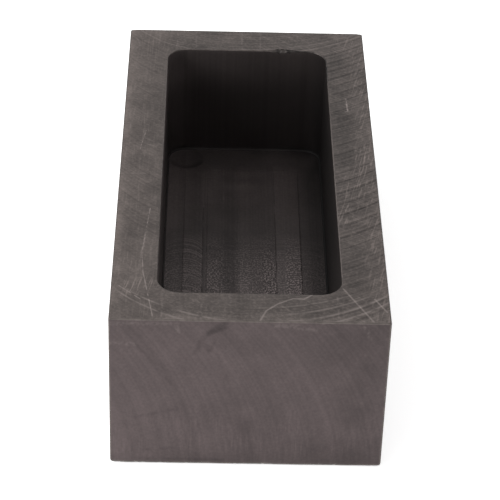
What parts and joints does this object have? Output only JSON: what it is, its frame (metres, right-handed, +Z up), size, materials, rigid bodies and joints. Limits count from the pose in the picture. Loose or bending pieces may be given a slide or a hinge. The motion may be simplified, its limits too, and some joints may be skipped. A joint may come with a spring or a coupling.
{
  "type": "ingot mould",
  "caption": "Open graphite ingot mould: an oblong block with a straight-walled milled casting cavity, rounded in its corners, for casting a flat bar of gold, silver or copper.",
  "frame": {"origin": "centre of the base, on the surface that the block stands on", "axes": "+Z up out of the open cavity, +Y along the block's length, +X across it to the right"},
  "size_m": [0.06, 0.125, 0.04],
  "materials": {
    "machined_graphite": "satin"
  },
  "bodies": {
    "root": {"mould_block": "machined_graphite"}
  },
  "joints": []
}
